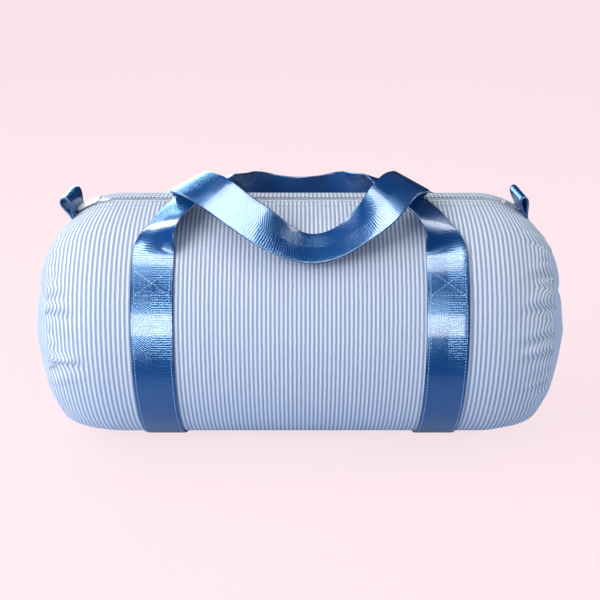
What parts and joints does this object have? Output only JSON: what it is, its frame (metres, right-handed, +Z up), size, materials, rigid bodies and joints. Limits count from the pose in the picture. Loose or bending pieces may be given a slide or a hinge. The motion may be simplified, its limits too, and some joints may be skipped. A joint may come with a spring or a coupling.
{
  "type": "weekender bag",
  "caption": "Barrel weekender bag in striped fabric with a zipped top, sewn webbing bands, webbing carry handles and a webbing tab at each end.",
  "frame": {"origin": "on the ground under the middle of the bag", "axes": "+X along the barrel to the right-hand end seen from the front, -Y is the front, +Z is up"},
  "size_m": [0.514, 0.2412, 0.2664],
  "materials": {
    "striped_fabric": "woven stripes, matt",
    "end_fabric": "woven, matt",
    "lining_fabric": "smooth woven lining",
    "binding_tape": "woven tape",
    "webbing": "glossy woven webbing",
    "webbing_thread": "satin thread",
    "fabric_thread": "satin thread",
    "zip_tape": "woven tape",
    "zip_coil": "moulded",
    "zip_slider": "satin enamel"
  },
  "bodies": {
    "bag": {"body_panel": "striped_fabric", "left_end_panel": "end_fabric", "right_end_panel": "end_fabric", "body_lining": "lining_fabric", "left_end_lining": "lining_fabric", "right_end_lining": "lining_fabric", "left_seam_binding": "binding_tape", "right_seam_binding": "binding_tape", "front_zipper_tape": "zip_tape", "rear_zipper_tape": "zip_tape", "front_zipper_coil": "zip_coil", "rear_zipper_coil": "zip_coil", "zipper_stops": "zip_coil", "left_end_tab": "webbing", "right_end_tab": "webbing", "left_band": "webbing", "right_band": "webbing", "handle_box_stitches": "webbing_thread", "band_edge_stitches": "webbing_thread", "zipper_topstitches": "fabric_thread"},
    "slider": {"zipper_slider": "zip_slider"},
    "pull": {"zipper_pull": "zip_slider"},
    "front_legs": {"front_handle_left_leg": "webbing", "front_handle_right_leg": "webbing"},
    "front_loop": {"front_handle_grip": "webbing"},
    "rear_legs": {"rear_handle_left_leg": "webbing", "rear_handle_right_leg": "webbing"},
    "rear_loop": {"rear_handle_grip": "webbing"}
  },
  "joints": [
    {"name": "zipper_slide", "type": "slide", "parent": "bag", "child": "slider", "axis": [1, 0, 0], "range_m": [0, 0.374]},
    {"name": "zipper_pull_hinge", "type": "hinge", "parent": "slider", "child": "pull", "pos_m": [-0.19114, -0.004, 0.2347], "axis": [0, 1, 0], "range_deg": [0, 150]},
    {"name": "front_handle_swing", "type": "hinge", "parent": "bag", "child": "front_legs", "pos_m": [0, -0.08457, 0.20057], "axis": [1, 0, 0], "range_deg": [0, 50]},
    {"name": "front_handle_lift", "type": "hinge", "parent": "front_legs", "child": "front_loop", "pos_m": [0, -0.008, 0.247], "axis": [-1, 0, 0], "range_deg": [0, 112]},
    {"name": "rear_handle_swing", "type": "hinge", "parent": "bag", "child": "rear_legs", "pos_m": [0, 0.08457, 0.20057], "axis": [-1, 0, 0], "range_deg": [0, 35]},
    {"name": "rear_handle_lift", "type": "hinge", "parent": "rear_legs", "child": "rear_loop", "pos_m": [0, 0.038, 0.243], "axis": [1, 0, 0], "range_deg": [0, 115]}
  ]
}
